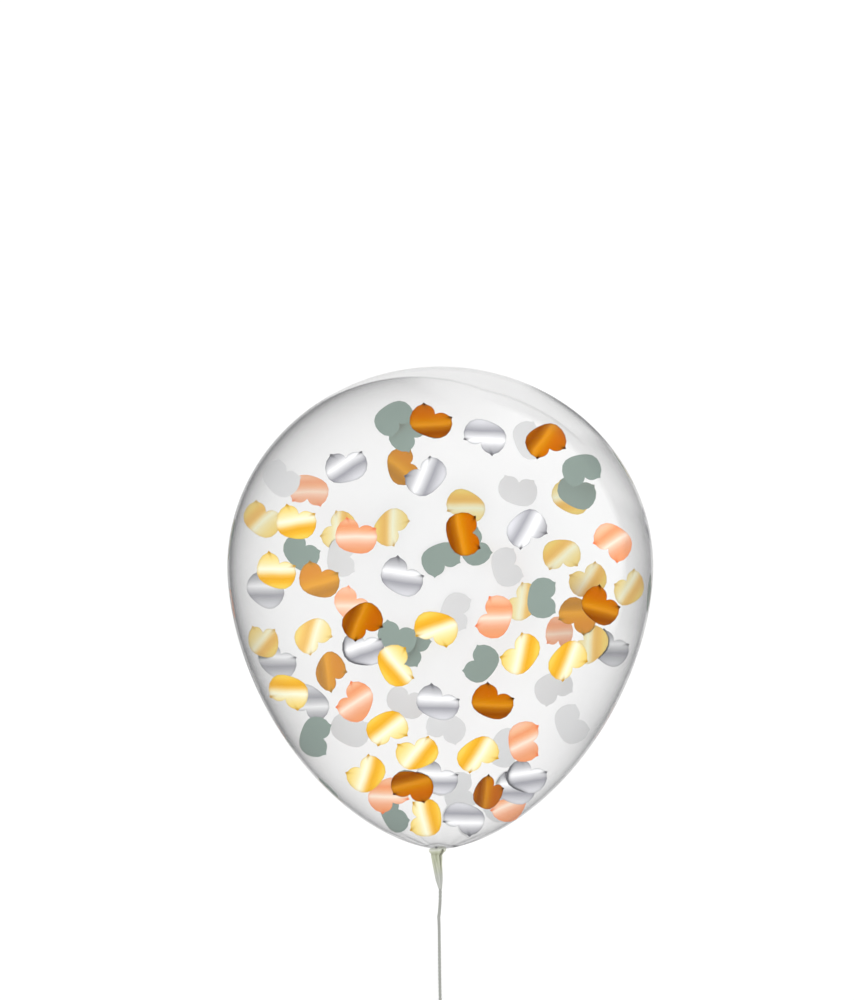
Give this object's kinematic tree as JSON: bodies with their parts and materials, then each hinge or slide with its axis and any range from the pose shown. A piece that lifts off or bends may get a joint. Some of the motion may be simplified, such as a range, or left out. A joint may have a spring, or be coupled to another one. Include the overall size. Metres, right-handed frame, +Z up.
{
  "type": "confetti balloon",
  "caption": "Clear inflated party balloon with loose foil confetti sealed inside, a knotted neck and a string with a hand loop; it lies on its side.",
  "frame": {"origin": "on the floor, under the middle of the balloon's length from the crown to the tail's tip, as it lies on its side", "axes": "+Y along the balloon's axis from the tail to the crown, +Z up from the floor through the balloon's width, +X across it"},
  "size_m": [0.28, 0.4851, 0.277],
  "materials": {
    "clear_latex": "gloss",
    "string": "matte",
    "gold_foil": "satin",
    "copper_foil": "satin",
    "silver_foil": "satin",
    "rose_foil": "satin"
  },
  "bodies": {
    "root": {"balloon": "clear_latex", "string": "string", "string_knot": "string", "hand_loop": "string"}
  },
  "joints": []
}
